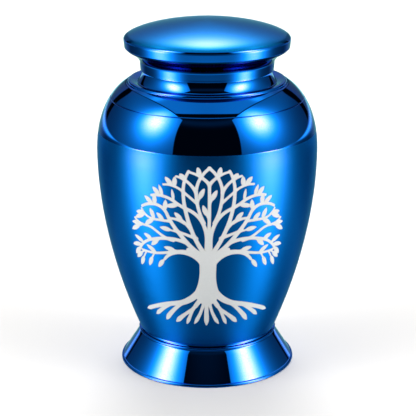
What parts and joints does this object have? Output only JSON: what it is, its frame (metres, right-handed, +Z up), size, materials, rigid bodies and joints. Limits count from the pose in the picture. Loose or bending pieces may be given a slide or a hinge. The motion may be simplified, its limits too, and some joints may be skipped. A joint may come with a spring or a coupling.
{
  "type": "funeral urn",
  "caption": "Vase-shaped metal funeral urn on a flared foot, hollow, with a domed lid that lifts off and a silver tree of life etched on its front.",
  "frame": {"origin": "centre of the underside, at the level of the surface that the foot stands on", "axes": "+Z up along the axis that every piece is turned about; the etched front faces -Y"},
  "size_m": [0.1638, 0.1638, 0.2616],
  "materials": {
    "polished_blue": "clear blue lacquer over mirror-polished metal",
    "brushed_blue": "clear blue lacquer over metal brushed round the body",
    "satin_blue": "clear blue lacquer over fine satin metal",
    "etched_silver": "pale matt etched metal, for the tree on the front"
  },
  "bodies": {
    "root": {"foot": "polished_blue", "vessel": "brushed_blue", "lid": "satin_blue"}
  },
  "joints": []
}
